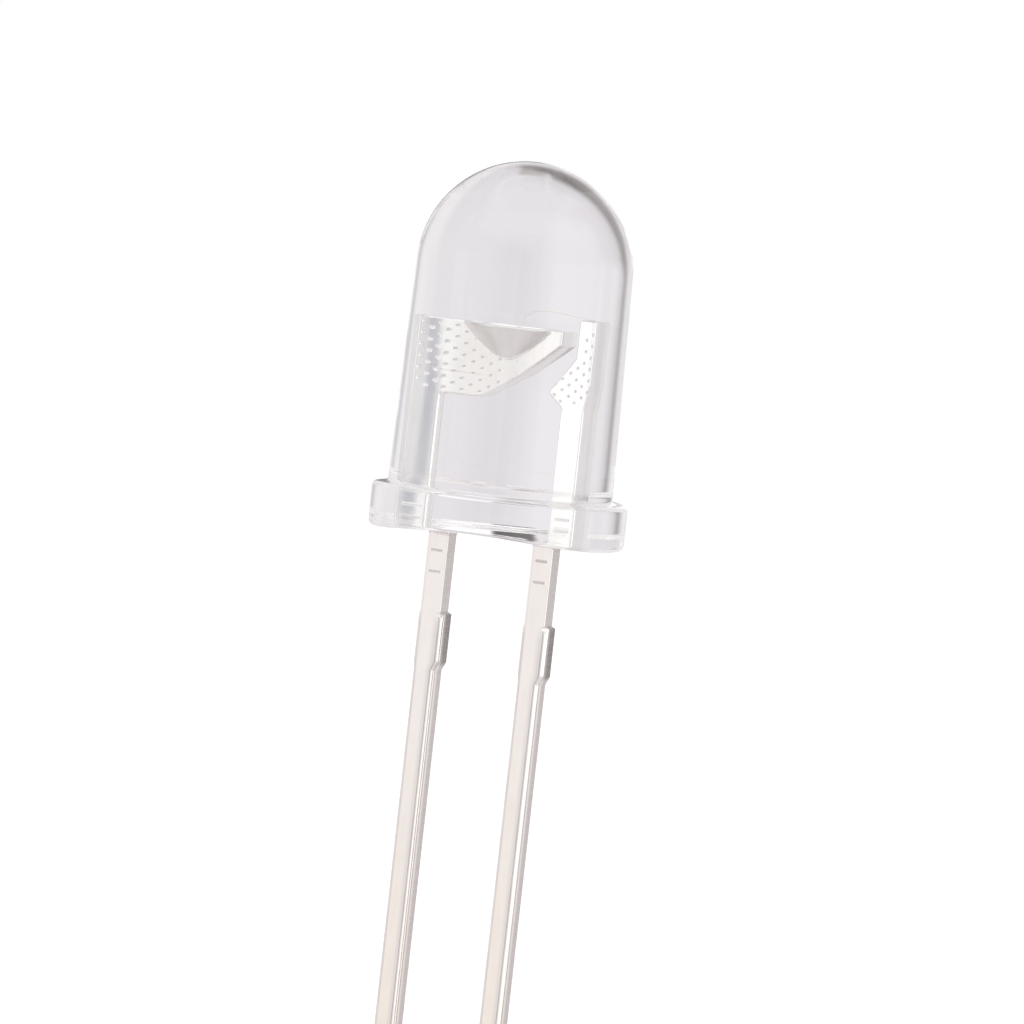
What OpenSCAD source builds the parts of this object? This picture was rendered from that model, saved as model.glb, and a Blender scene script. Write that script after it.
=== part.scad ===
// Through hole LED, 5 mm, water-clear: a moulded epoxy lens round a two-piece stamped lead frame,
// with a die in the reflector cup of the cathode and one wire bond to the post of the anode.
// Origin: centre of the seating plane. +Z is the optical axis, -X the cathode, +X the anode.

/* [Lens] */
// Height of the lens from the seating plane to the top of the dome
lens_h = 8.58; // [7.6:0.02:9.6]
// Diameter of the dome where it meets the body
dome_d = 4.92; // [4.7:0.02:5.0]
// Diameter of the body at the top of the flange, wider than the dome by the draft of the mould
body_d = 5.12; // [5.04:0.02:5.3]
// Radius of the fillet between the body and the flange
body_fillet = 0.1; // [0.06:0.01:0.12]

/* [Flange] */
// Diameter of the flange
flange_d = 5.86; // [5.7:0.02:6.2]
// Height of the flange
flange_h = 1.04; // [0.8:0.02:1.4]
// Radius of the flange's upper edge
flange_top_round = 0.12; // [0.06:0.01:0.14]
// Radius of the flange's lower edge
flange_low_round = 0.14; // [0.04:0.01:0.2]
// Land left on the cathode side between the body and the polarity flat
flat_land = 0.04; // [0.02:0.01:0.08]

/* [Resin surface under the flange] */
// Diameter of the shallow dish that the cured resin leaves
dish_d = 4.5; // [4.0:0.05:4.8]
// Depth of the dish
dish_depth = 0.18; // [0.1:0.01:0.25]
// How far the resin creeps down each lead below the seating plane
creep_h = 0.14; // [0.08:0.01:0.22]
// How far the creep spreads round each lead
creep_spread = 0.3; // [0.15:0.01:0.34]
// Resin left on the corners of a lead at the tip of the creep
creep_film = 0.015; // [0.01:0.005:0.03]

/* [Leads] */
// Distance between the centres of the leads
lead_pitch = 2.54; // [2.4:0.02:2.6]
// Width of each lead, across the frame
lead_w = 0.5; // [0.4:0.02:0.56]
// Thickness of the strip that both leads are stamped from
strip_t = 0.5; // [0.4:0.02:0.56]
// Length of the anode lead below the seating plane
anode_len = 27; // [16:0.5:30]
// Length of the cathode lead below the seating plane
cathode_len = 25.5; // [15:0.5:28.5]

/* [Tie bar stubs] */
// Distance of each stub below the seating plane
stub_drop = 1.9; // [1.7:0.05:3]
// Length of the sheared face of each stub
stub_h = 1.1; // [0.8:0.05:1.5]
// How far the stub stands out on the anode side of each lead
stub_out = 0.09; // [0.05:0.01:0.2]
// How far the stub stands out on the cathode side of each lead
stub_back = 0.02; // [0.01:0.01:0.1]
// Length of the taper above each stub
stub_shoulder = 0.05; // [0.02:0.01:0.2]
// Length of the taper below each stub
stub_taper = 0.2; // [0.1:0.02:0.4]

/* [Anti-wicking notches] */
// Depth of each notch
notch_depth = 0.03; // [0.02:0.005:0.05]
// Length of each notch across the lead
notch_w = 0.3; // [0.2:0.02:0.36]
// Distance of the first notch below the seating plane
notch_low = 0.45; // [0.4:0.05:0.6]
// Distance of the first notch above the seating plane
notch_high = 0.3; // [0.26:0.02:0.4]
// Spacing from the first to the second notch outside the resin
notch_step_out = 0.49; // [0.3:0.02:0.6]
// Spacing from the first to the second notch inside the resin
notch_step_in = 0.27; // [0.2:0.01:0.36]

/* [Anvil] */
// Height of the anvil's lower edge above the seating plane
anvil_z = 3.16; // [2.6:0.02:3.3]
// Height of the anvil's top and of the cup's rim above the seating plane
rim_z = 4.84; // [4.6:0.02:4.96]
// Land on the anode side of the cup's rim
anvil_land = 0.1; // [0.02:0.01:0.14]
// Height of the anvil's upright end on the anode side
anvil_end_h = 0.32; // [0.2:0.02:0.45]
// Distance from the axis to the lower corner of the slanted edge, towards the cathode
anvil_heel = 0.42; // [0.2:0.02:0.6]
// Radius of the anvil's corners
anvil_round = 0.08; // [0.03:0.01:0.12]
// Radius of the bends in the slanted edge
anvil_bend = 0.4; // [0.2:0.02:0.45]

/* [Reflector cup] */
// Outer diameter of the cup at its rim
cup_d = 1.58; // [1.4:0.02:1.7]
// Depth below the rim at which the outer cone sinks into the faces of the anvil
cup_cone_h = 0.79; // [0.7:0.01:0.9]
// Diameter of the reflector at its mouth
mouth_d = 1.26; // [1.1:0.02:1.34]
// Diameter of the flat floor of the reflector
floor_d = 0.56; // [0.5:0.02:0.6]
// Depth of the reflector
cup_depth = 0.5; // [0.4:0.02:0.56]

/* [Anode post] */
// Height of the post's top above the seating plane
post_z = 5.15; // [4.9:0.05:5.3]
// Width of the post's top
post_top_w = 0.4; // [0.3:0.01:0.44]
// How far the post stands out beyond the outer edge of the anode lead
post_out = 0.09; // [0.03:0.01:0.14]
// Height at which the outer edge steps back in to the lead
post_step_z = 3.7; // [3.5:0.05:4]
// Height at which the inner edge begins to slant
post_slant_z = 4.27; // [4.1:0.05:4.5]
// Height of the toe at the end of the slant
toe_z = 3.45; // [3.4:0.02:3.7]
// How far the toe reaches inwards beyond the anode lead
toe_reach = 0.3; // [0.1:0.02:0.34]
// Height at which the toe returns to the lead
toe_return_z = 3.12; // [2.8:0.02:3.16]
// Radius of the toe
toe_round = 0.12; // [0.05:0.01:0.14]
// Radius of the post's other corners
post_round = 0.04; // [0.02:0.01:0.07]

/* [Die and bond] */
// Side of the square die
die_w = 0.3; // [0.2:0.01:0.34]
// Height of the die
die_h = 0.14; // [0.1:0.01:0.2]
// Thickness of the conductive adhesive under the die
glue_t = 0.02; // [0.01:0.005:0.04]
// How far the adhesive reaches beyond the corners of the die
glue_edge = 0.03; // [0.01:0.005:0.05]
// Diameter of the gold wire
wire_d = 0.03; // [0.025:0.005:0.05]
// Diameter of the ball that bonds the wire to the die
ball_d = 0.09; // [0.07:0.01:0.12]
// Height of the loop's first pull above the top of the post
loop_rise = 0.34; // [0.2:0.01:0.5]
// Height of the loop's second pull above the top of the post
loop_fall = 0.14; // [0.1:0.01:0.3]
// Distance of the loop's second pull from the axis
loop_reach = 0.4; // [0.2:0.02:0.6]
// Distance of the stitch from the inner edge of the post's top
stitch_in = 0.1; // [0.06:0.01:0.16]

/* [Hidden] */
$fn = 64;
overcut = 0.05;           // how far a cutting solid runs past the face it cuts
corner_steps = 4;         // straight steps in a rounded corner of the stamping
wire_sides = 8;           // sides of the wire
wire_rings = 18;          // rings along the loop

flange_r = flange_d / 2;
body_r = body_d / 2;
dome_r = dome_d / 2;
dome_z = lens_h - dome_r;
flat_x = body_r + flat_land;
dish_r = dish_d / 2;
dish_ball_r = (dish_r * dish_r + dish_depth * dish_depth) / (2 * dish_depth);

lead_x = lead_pitch / 2;
lead_inner = lead_x - lead_w / 2;
lead_outer = lead_x + lead_w / 2;
lead_corner_r = norm([lead_w, strip_t]) / 2;

cup_r = cup_d / 2;
cup_slope = (cup_r - strip_t / 2) / cup_cone_h;
cup_root_h = cup_cone_h + strip_t / 8;
mouth_slope = (mouth_d - floor_d) / 2 / cup_depth;
anvil_right = cup_r + anvil_land;
anvil_waist_x = (anvil_right - anvil_heel) / 2;
anvil_waist_z = (anvil_z + rim_z - anvil_end_h) / 2 - strip_t / 8;

floor_z = rim_z - cup_depth;
die_z = floor_z + glue_t;
die_top = die_z + die_h;
post_outer = lead_outer + post_out;
post_inner = post_outer - post_top_w;
stitch_x = post_inner + stitch_in;

// ---- outlines ----

function unit(v) = v / norm(v);

// The points of one corner [x, z, radius] between its neighbours: the corner itself where the
// radius is 0, and otherwise an arc that touches both sides.
function corner_arc(before, corner, after) =
    let (c = [corner.x, corner.y],
         to_before = unit([before.x, before.y] - c),
         to_after = unit([after.x, after.y] - c),
         half = acos(to_before * to_after) / 2,
         radius = corner.z,
         centre = c + unit(to_before + to_after) * radius / sin(half),
         first = c + to_before * radius / tan(half) - centre,
         last = c + to_after * radius / tan(half) - centre,
         start = atan2(first.y, first.x),
         turn = (atan2(last.y, last.x) - start + 540) % 360 - 180)
    radius == 0 ? [c] :
    [for (i = [0:corner_steps])
        centre + radius * [cos(start + turn * i / corner_steps), sin(start + turn * i / corner_steps)]];

// An outline whose corners are rounded each by its own radius.
function rounded(corners) =
    [for (i = [0:len(corners) - 1])
        each corner_arc(corners[(i + len(corners) - 1) % len(corners)], corners[i],
                        corners[(i + 1) % len(corners)])];

// Points on an arc of an ellipse in the half plane [radius, height].
function arc(centre, radius, height, from, to, step = 9) =
    [for (a = [from:(to > from ? step : -step):to])
        centre + [radius * cos(a), height * sin(a)]];

// The side of a lead below the resin, from the tip upwards. out is the side's distance from the
// lead's centre line, stub how far the tie bar stub stands out there, way its direction in x.
function lead_side(x, way, stub, tip_z) =
    let (edge = x + way * lead_w / 2,
         proud = x + way * (lead_w / 2 + stub),
         top = -stub_drop,
         bottom = -stub_drop - stub_h)
    [[edge, tip_z, 0],
     [edge, bottom - stub_taper, 0],
     [proud, bottom, 0],
     [proud, top, 0],
     [edge, top + stub_shoulder, 0]];

function reversed(list) = [for (i = [len(list) - 1:-1:0]) list[i]];

// The frame is stamped from one strip, so every outline is extruded through its thickness.
module stamped(corners) {
    rotate([90, 0, 0])
        linear_extrude(height = strip_t, center = true)
            polygon(rounded(corners));
}

// ---- lens ----

// Half section of the lens up to the dome: flange with two rounded edges, fillet and drafted side.
lens_section = concat(
    [[0, 0]],
    arc([flange_r - flange_low_round, flange_low_round], flange_low_round, flange_low_round,
        -90, 0, 18),
    arc([flange_r - flange_top_round, flange_h - flange_top_round],
        flange_top_round, flange_top_round, 0, 90, 18),
    arc([body_r + body_fillet, flange_h + body_fillet], body_fillet, body_fillet, 270, 180, 18),
    [[dome_r, dome_z], [0, dome_z]]);

// Section of the resin that creeps down a lead, a hollow quarter of an ellipse.
creep_tip = lead_corner_r + creep_film;
creep_section = concat(
    [[0, flange_h / 2], [0, -creep_h]],
    arc([creep_tip + creep_spread, -creep_h], creep_spread, dish_depth + creep_h, 180, 90, 15),
    [[creep_tip + creep_spread, flange_h / 2]]);

module lens_body() {
    difference() {
        union() {
            rotate_extrude() polygon(lens_section);
            translate([0, 0, dome_z]) sphere(r = dome_r, $fn = 96);
        }
        translate([-flat_x - flange_d, -flange_r - overcut, -overcut])
            cube([flange_d, flange_d + 2 * overcut, flange_h + body_fillet + overcut]);
        translate([0, 0, dish_depth - dish_ball_r])
            sphere(r = dish_ball_r, $fn = 128);
    }
    for (x = [-lead_x, lead_x])
        translate([x, 0, 0])
            rotate_extrude() polygon(creep_section);
}

// The lens is cast round the frame, so everything inside leaves its own print in the resin.
module epoxy_lens() {
    color([0.93, 0.93, 0.95, 0.4])
        difference() {
            lens_body();
            cathode_lead();
            anode_lead();
            die_attach();
            led_chip();
            bond_wire();
        }
}

// ---- lead frame ----

// V notches pressed into the front of a lead, outside and inside the resin.
module lead_notches(x) {
    heights = [-notch_low - notch_step_out, -notch_low, notch_high, notch_high + notch_step_in];
    for (z = heights)
        translate([x, -strip_t / 2, z])
            rotate([45, 0, 0])
                cube([notch_w, notch_depth * sqrt(2), notch_depth * sqrt(2)], center = true);
}

// Cathode: lead, anvil and reflector cup in one stamping.
module cathode_lead() {
    corners = concat(
        lead_side(-lead_x, 1, stub_out, -cathode_len),
        [[-lead_inner, anvil_z, anvil_round],
         [-anvil_heel, anvil_z, anvil_bend],
         [anvil_waist_x, anvil_waist_z, anvil_bend],
         [anvil_right, rim_z - anvil_end_h, anvil_round],
         [anvil_right, rim_z, 0],
         [-lead_outer, rim_z, anvil_round]],
        reversed(lead_side(-lead_x, -1, stub_back, -cathode_len)));
    color([0.86, 0.85, 0.84])
        difference() {
            union() {
                stamped(corners);
                translate([0, 0, rim_z - cup_root_h])
                    cylinder(h = cup_root_h, r1 = cup_r - cup_slope * cup_root_h, r2 = cup_r);
            }
            translate([0, 0, floor_z])
                cylinder(h = cup_depth + overcut, r1 = floor_d / 2,
                         r2 = mouth_d / 2 + mouth_slope * overcut);
            lead_notches(-lead_x);
        }
}

// Anode: lead and bonding post in one stamping.
module anode_lead() {
    corners = concat(
        lead_side(lead_x, 1, stub_out, -anode_len),
        [[lead_outer, toe_return_z, 0],
         [post_outer, post_step_z, post_round],
         [post_outer, post_z, post_round],
         [post_inner, post_z, post_round],
         [post_inner, post_slant_z, post_round],
         [lead_inner - toe_reach, toe_z, toe_round],
         [lead_inner, toe_return_z, post_round]],
        reversed(lead_side(lead_x, -1, stub_back, -anode_len)));
    color([0.86, 0.85, 0.84])
        difference() {
            stamped(corners);
            lead_notches(lead_x);
        }
}

// ---- die and bond ----

// Conductive adhesive between the floor of the cup and the die.
module die_attach() {
    color([0.75, 0.75, 0.76])
        translate([0, 0, floor_z])
            cylinder(h = glue_t, r = die_w / sqrt(2) + glue_edge, $fn = 32);
}

module led_chip() {
    color([0.85, 0.7, 0.35])
        translate([-die_w / 2, -die_w / 2, die_z])
            cube([die_w, die_w, die_h]);
}

// The loop of the wire in the plane of the frame, a Bezier curve from the ball to the stitch.
loop_pulls = [[0, die_top], [0, post_z + loop_rise],
              [loop_reach, post_z + loop_fall], [stitch_x, post_z]];
function loop_point(t) =
    loop_pulls[0] * pow(1 - t, 3) + loop_pulls[1] * 3 * t * pow(1 - t, 2)
    + loop_pulls[2] * 3 * t * t * (1 - t) + loop_pulls[3] * pow(t, 3);
function loop_slope(t) =
    unit((loop_pulls[1] - loop_pulls[0]) * pow(1 - t, 2)
         + (loop_pulls[2] - loop_pulls[1]) * 2 * t * (1 - t)
         + (loop_pulls[3] - loop_pulls[2]) * t * t);

// One ring of the wire, square to the loop at t.
function wire_ring(t) =
    let (p = loop_point(t), along = loop_slope(t), across = [-along.y, along.x])
    [for (i = [0:wire_sides - 1])
        let (a = 360 * i / wire_sides, off = across * wire_d / 2 * cos(a))
        [p.x + off.x, wire_d / 2 * sin(a), p.y + off.y]];

module wire_loop() {
    last = wire_rings * wire_sides;
    points = [for (ring = [0:wire_rings]) each wire_ring(ring / wire_rings)];
    sides = [for (ring = [0:wire_rings - 1], i = [0:wire_sides - 1])
        let (next = (i + 1) % wire_sides, base = ring * wire_sides)
        [base + i, base + next, base + wire_sides + next, base + wire_sides + i]];
    caps = [[for (i = [wire_sides - 1:-1:0]) i], [for (i = [0:wire_sides - 1]) last + i]];
    polyhedron(points, concat(sides, caps));
}

// Gold wire with its ball on the die and its end pressed flat on the post.
module bond_wire() {
    room = lens_h;
    color([0.95, 0.78, 0.35])
        difference() {
            union() {
                wire_loop();
                translate([0, 0, die_top + ball_d / 4])
                    sphere(d = ball_d, $fn = 24);
            }
            translate([-room / 2, -room / 2, die_top - room])
                cube([room, room, room]);
            translate([post_inner, -room / 2, post_z - room])
                cube([room, room, room]);
        }
}

epoxy_lens();
cathode_lead();
anode_lead();
die_attach();
led_chip();
bond_wire();
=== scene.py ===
# %% [markdown]
# # A water-clear 5 mm LED for through-hole boards
#
# The part is a clear resin lens moulded round a stamped lead frame. Everything that can be
# seen inside it sits in the resin like an insect in amber, so this lesson is mostly about two
# things: metal that keeps the marks of the press, and a lens that bends what is behind it.
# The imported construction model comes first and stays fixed. Each piece below stands in its
# place, with the same sizes and finer surfaces.

# %% Load the fixed frame
import math

import bmesh
import bpy
import numpy as np
from mathutils import Matrix, Vector


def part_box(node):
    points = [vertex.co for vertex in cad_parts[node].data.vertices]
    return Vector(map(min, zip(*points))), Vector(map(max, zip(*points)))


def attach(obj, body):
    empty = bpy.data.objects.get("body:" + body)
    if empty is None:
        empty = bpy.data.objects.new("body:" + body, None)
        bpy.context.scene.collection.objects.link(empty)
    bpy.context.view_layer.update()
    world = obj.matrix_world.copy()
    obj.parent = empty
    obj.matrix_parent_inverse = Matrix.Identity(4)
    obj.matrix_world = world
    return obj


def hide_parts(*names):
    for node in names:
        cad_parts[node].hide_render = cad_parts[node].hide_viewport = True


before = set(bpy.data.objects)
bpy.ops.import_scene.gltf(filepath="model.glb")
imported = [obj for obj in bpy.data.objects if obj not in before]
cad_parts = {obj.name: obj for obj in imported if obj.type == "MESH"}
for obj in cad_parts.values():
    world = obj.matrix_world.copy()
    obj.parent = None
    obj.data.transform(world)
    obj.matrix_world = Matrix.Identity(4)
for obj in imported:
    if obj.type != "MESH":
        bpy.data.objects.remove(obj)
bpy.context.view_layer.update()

# %% [markdown]
# ## Sizes from the construction model
#
# The box of every node gives most sizes directly, so nothing has to be fitted by eye. The
# work below is in millimetres, because a 0.03 mm wire is easier to think about than
# 0.00003 m, and each mesh is scaled once when it is made.

# %% Sizes in millimetres
MM = 0.001
SAME_POINT = 5e-5            # points nearer than this are one point, in millimetres


def box_mm(node):
    """Lowest and highest corner of a construction node, in millimetres."""
    low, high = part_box(node)
    return np.array(low) / MM, np.array(high) / MM


lens_low, lens_high = box_mm("epoxy_lens")
cathode_low, cathode_high = box_mm("cathode_lead")
anode_low, anode_high = box_mm("anode_lead")
chip_low, chip_high = box_mm("led_chip")
glue_low, glue_high = box_mm("die_attach")

FLANGE_R = float(lens_high[0])
LENS_TOP = float(lens_high[2])
FLAT_X = float(-lens_low[0])
CREEP = float(-lens_low[2])
STRIP = 0.5                  # thickness of the strip that the leads are stamped from
LEAD_W = 0.5                 # width of a lead
LEAD_X = 1.27                # distance of a lead's centre line from the axis
CATHODE_TIP, ANODE_TIP = float(cathode_low[2]), float(anode_low[2])
RIM_Z, POST_Z = float(cathode_high[2]), float(anode_high[2])
print("flange radius", FLANGE_R, "lens top", LENS_TOP, "flat at", -FLAT_X)
print("rim", RIM_Z, "post", POST_Z, "leads end at", CATHODE_TIP, ANODE_TIP)

# %% [markdown]
# ## Surfaces worked out as grids
#
# Every new piece is a grid of points: rings carried along a path, with the first and last
# ring drawn together to one point so that the skin is closed. Helpers number the faces,
# turn the arrays into a mesh, merge the points that coincide at the poles, and turn all
# faces outwards. Doing this once keeps each piece down to its formula.

# %% Helpers for grids and pieces


def ring_faces(rows, columns):
    """Quads of a tube with rows rings of columns points: each point is joined to the next
    one round its ring, where the last joins the first, and to the same two a ring further."""
    row, column = np.meshgrid(np.arange(rows - 1), np.arange(columns), indexing="ij")
    following = (column + 1) % columns
    return np.stack([row * columns + column, row * columns + following,
                     (row + 1) * columns + following, (row + 1) * columns + column],
                    axis=-1).reshape(-1, 4)


def between_poles(rings):
    """Adds a ring at each end with all its points at the middle of the ring beside it, so
    that the tube is closed."""
    foot = np.repeat(rings[:1].mean(axis=1, keepdims=True), rings.shape[1], axis=1)
    head = np.repeat(rings[-1:].mean(axis=1, keepdims=True), rings.shape[1], axis=1)
    return np.concatenate([foot, rings, head])


def grid_mesh(name, rings):
    """A mesh from an array of rings, rows x columns x 3, in millimetres."""
    rows, columns = rings.shape[:2]
    faces = ring_faces(rows, columns)
    mesh = bpy.data.meshes.new(name)
    mesh.vertices.add(rows * columns)
    mesh.vertices.foreach_set("co", (rings.reshape(-1) * MM).astype(np.float32))
    mesh.loops.add(faces.size)
    mesh.loops.foreach_set("vertex_index", faces.reshape(-1).astype(np.int32))
    mesh.polygons.add(len(faces))
    mesh.polygons.foreach_set("loop_start", np.arange(0, faces.size, 4, dtype=np.int32))
    mesh.update(calc_edges=True)
    return mesh


def weld(mesh):
    """Merges the points that coincide and turns all faces outwards."""
    work = bmesh.new()
    work.from_mesh(mesh)
    bmesh.ops.remove_doubles(work, verts=work.verts, dist=SAME_POINT * MM)
    bmesh.ops.dissolve_degenerate(work, edges=work.edges, dist=SAME_POINT * MM)
    bmesh.ops.recalc_face_normals(work, faces=work.faces)
    work.to_mesh(mesh)
    work.free()


def make_piece(name, rings, material, nodes, marks=None, crease=35):
    """A closed piece from an array of rings. marks are named values for every point, which
    the materials read. Edges sharper than crease degrees stay sharp."""
    mesh = grid_mesh(name, rings)
    for mark, values in (marks or {}).items():
        layer = mesh.attributes.new(mark, "FLOAT", "POINT")
        layer.data.foreach_set("value", np.asarray(values, np.float32).reshape(-1))
    weld(mesh)
    mesh.shade_smooth()
    mesh.set_sharp_from_angle(angle=math.radians(crease))
    piece = bpy.data.objects.new(name, mesh)
    bpy.context.scene.collection.objects.link(piece)
    mesh.materials.append(material)
    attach(piece, "root")
    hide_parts(*nodes)
    print(name, "has", len(mesh.vertices), "points and", len(mesh.polygons), "faces")


print("three rings of four points give", len(ring_faces(3, 4)), "faces")

# %% [markdown]
# ## Circles and soft steps
#
# Three small formulas come back in almost every piece: the angles of a full circle, rings
# that lie level, and a step with a soft start and end. The soft step is what keeps a worn
# edge or a pressed mark from looking cut out.

# %% Circles and soft steps


def full_turn(count):
    """Angles evenly round a circle, in radians."""
    return np.linspace(0, 2 * math.pi, count, endpoint=False)


def level_rings(angle, outline):
    """A level ring for every (radius, height) of an outline. A radius may change along the
    ring."""
    return np.stack([np.stack([radius * np.cos(angle), radius * np.sin(angle),
                               np.full(len(angle), height)], axis=1)
                     for radius, height in outline])


def smooth(low, high, value):
    """0 below low, 1 above high, and an S curve between: 3t^2 - 2t^3."""
    t = np.clip((value - low) / (high - low), 0, 1)
    return t * t * (3 - 2 * t)


print("a soft step at a quarter and at a half:", smooth(0, 1, 0.25), smooth(0, 1, 0.5))

# %% [markdown]
# ## Node materials from a short list
#
# A finish is a small graph of nodes. Written out link by link it hides what it means, so a
# few helpers build it: one starts a material and returns its shader, one adds a node with
# its settings and feeds, and the rest are the steps that every finish repeats. All patterns
# read object coordinates, so they stay on the piece when it moves.

# %% Helpers for materials


def new_material(name, **settings):
    """A material with one Principled shader, whose sockets take the given settings."""
    material = bpy.data.materials.new(name)
    material.use_nodes = True
    tree = material.node_tree
    shader = tree.nodes["Principled BSDF"]
    for socket, value in settings.items():
        shader.inputs[socket.replace("_", " ")].default_value = value
    return material, tree, shader


def add(tree, kind, feeds=None, **settings):
    """Adds a node. feeds maps an input to a value or to another node's output."""
    node = tree.nodes.new(kind)
    for key, value in settings.items():
        setattr(node, key, value)
    for key, value in (feeds or {}).items():
        if isinstance(value, bpy.types.NodeSocket):
            tree.links.new(value, node.inputs[key])
        else:
            node.inputs[key].default_value = value
    return node


def feed(tree, node, **outputs):
    """Links outputs to a node's sockets of the same names."""
    for socket, output in outputs.items():
        tree.links.new(output, node.inputs[socket.replace("_", " ")])


def ramp(tree, factor, stops):
    """A colour ramp with stops of (position, grey or colour). Returns its colour."""
    node = add(tree, "ShaderNodeValToRGB", {"Fac": factor})
    elements = node.color_ramp.elements
    while len(elements) < len(stops):
        elements.new(1)
    for element, (position, tone) in zip(elements, stops):
        element.position = position
        element.color = (tone, tone, tone, 1) if np.isscalar(tone) else (*tone, 1)
    return node.outputs["Color"]


def tones(tree, pattern, low, high):
    """From low to high where a pattern goes from 0.3 to 0.7, which is most of its range."""
    return ramp(tree, pattern, [(0.3, low), (0.7, high)])


def mix(tree, factor, first, second):
    """Blends two colours."""
    return add(tree, "ShaderNodeMix", {0: factor, 6: first, 7: second},
               data_type="RGBA").outputs[2]


def maths(tree, operation, *values):
    """One step of arithmetic on up to three values."""
    return add(tree, "ShaderNodeMath", dict(enumerate(values)), operation=operation).outputs[0]


def scaled(tree, value, low, high, low_out=0.0, high_out=1.0):
    """A value taken from one range to another along an S curve, and held at its ends."""
    return add(tree, "ShaderNodeMapRange", {"Value": value, "From Min": low, "From Max": high,
                                            "To Min": low_out, "To Max": high_out},
               interpolation_type="SMOOTHSTEP").outputs[0]


def mark(tree, name):
    """A value that the mesh carries at every point."""
    return add(tree, "ShaderNodeAttribute", attribute_name=name).outputs["Fac"]


def noise(tree, size, detail=3.0, roughness=0.5):
    """Fractal noise from 0 to 1. size is the width of its grains along x, y and z, in
    millimetres."""
    place = add(tree, "ShaderNodeTexCoord").outputs["Object"]
    grains = add(tree, "ShaderNodeMapping", {
        "Vector": place, "Scale": tuple(1 / (MM * s) for s in size)}).outputs["Vector"]
    return add(tree, "ShaderNodeTexNoise", {"Vector": grains, "Scale": 1.0, "Detail": detail,
                                            "Roughness": roughness}).outputs["Fac"]


def bumped(tree, shader, height, strength, depth):
    """Tilts the shader's normal by a height, whose full range is depth millimetres."""
    bump = add(tree, "ShaderNodeBump", {"Height": height, "Strength": strength,
                                        "Distance": depth * MM})
    feed(tree, shader, Normal=bump.outputs["Normal"])


print("patterns are sized in millimetres, at", 1 / MM, "to the metre")

# %% [markdown]
# ## Silver plating on a stamping
#
# The strip is bright silver over base metal. Its rolled faces are smooth with faint rolling
# lines, its punched sides are duller, and where the tie bar was cut away after plating the
# bare metal shows, brown-grey. One material does all of it: the mesh carries five marks, and
# the graph turns them into colour and roughness, so that each finish stays where it is made.
# Three marks also paint shade into the colour: painted shade along the edges of the faces
# outside the resin, painted shade in the dimples, notches and scribed line, and punched
# sides painted darker outside the resin than in it. Silver in the resin stays cool, and in
# the air it tarnishes warm towards the tips.

# %% Silver plating


def silver_plating():
    """Bright metal led by five marks: side on punched walls, which are duller and darker, with
    painted shade keeping them darker outside the resin and along the front's outer edge; bare
    on sheared metal; painted_edge_shade, painted shade along the edges of the faces;
    pit_dull_and_shade in pressed marks, which are duller and darkened by painted shade; and
    drawn on the cone."""
    material, tree, shader = new_material("silver_plating", Metallic=1.0)
    side, bare, painted_edge_shade, pit_dull_and_shade, drawn = (mark(tree, name) for name in
                                    ("side", "bare", "painted_edge_shade", "pit_dull_and_shade", "drawn"))
    lines = noise(tree, (0.11, 0.11, 1.1), 4.0)
    patches = noise(tree, (0.35, 0.35, 0.9), 3.0, 0.6)
    grains = noise(tree, (0.033, 0.033, 0.033), 2.0)
    shears = noise(tree, (0.3, 0.7, 0.05), 3.0)
    place = add(tree, "ShaderNodeTexCoord").outputs["Object"]
    height = add(tree, "ShaderNodeSeparateXYZ", {"Vector": place}).outputs["Z"]
    sealed = ramp(tree, patches, [(0.3, (0.925, 0.922, 0.905)), (0.62, (0.955, 0.955, 0.94))])
    open_air = ramp(tree, patches, [(0.3, (0.93, 0.885, 0.862)), (0.62, (0.965, 0.925, 0.905))])
    tarnished = ramp(tree, patches, [(0.3, (0.92, 0.85, 0.79)), (0.62, (0.95, 0.89, 0.83))])
    face = mix(tree, scaled(tree, height, -2 * MM, -12 * MM), open_air, tarnished)
    face = mix(tree, scaled(tree, height, -0.1 * MM, 0.2 * MM), face, sealed)
    wall = tones(tree, shears, (0.66, 0.62, 0.60), (0.75, 0.71, 0.69))
    torn = tones(tree, shears, (0.27, 0.245, 0.235), (0.40, 0.37, 0.355))
    # painted shade along the edges of the faces, darkening the plated colour
    edge_shade_share = maths(tree, "MULTIPLY", painted_edge_shade, scaled(tree, patches, 0.25, 0.75, 0.75, 1.15))
    plated = mix(tree, edge_shade_share, face, (0.70, 0.66, 0.645, 1))
    # painted shade in the pressed marks: dimples, notches and the scribed line are darkened
    plated = mix(tree, pit_dull_and_shade, plated, (0.53, 0.495, 0.475, 1))
    # punched walls, duller and darker; painted shade keeps them darker outside the resin than
    # in it and along the front's outer edge
    plated = mix(tree, side, plated, wall)
    feed(tree, shader, Base_Color=mix(tree, bare, plated, torn))
    gloss = tones(tree, lines, 0.13, 0.21)
    dull = tones(tree, grains, 0.30, 0.42)
    duller = maths(tree, "MAXIMUM", maths(tree, "MAXIMUM", side, drawn),
                   maths(tree, "MAXIMUM", bare, pit_dull_and_shade))
    feed(tree, shader, Roughness=mix(tree, duller, gloss, dull))
    bumped(tree, shader, maths(tree, "MULTIPLY_ADD", lines, 0.5,
                               maths(tree, "MULTIPLY", patches, 0.5)), 0.25, 0.003)
    return material


silver = silver_plating()
print("made", silver.name, "with", len(silver.node_tree.nodes), "nodes")

# %% [markdown]
# ## Outlines of the stampings
#
# A press cuts each lead from flat strip, so a lead is one outline with a thickness. The
# outline is a list of corners, each with its own radius. Both sides of it climb from the
# tip to the top without ever turning back, so at any height the metal runs from one left
# value to one right value. That makes the whole stamping a stack of plain rows.

# %% Corners and outlines
ARC_POINTS = 8               # points on a rounded corner


def unit(vector):
    """The vector drawn out or in to a length of 1."""
    return vector / np.linalg.norm(vector)


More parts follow.
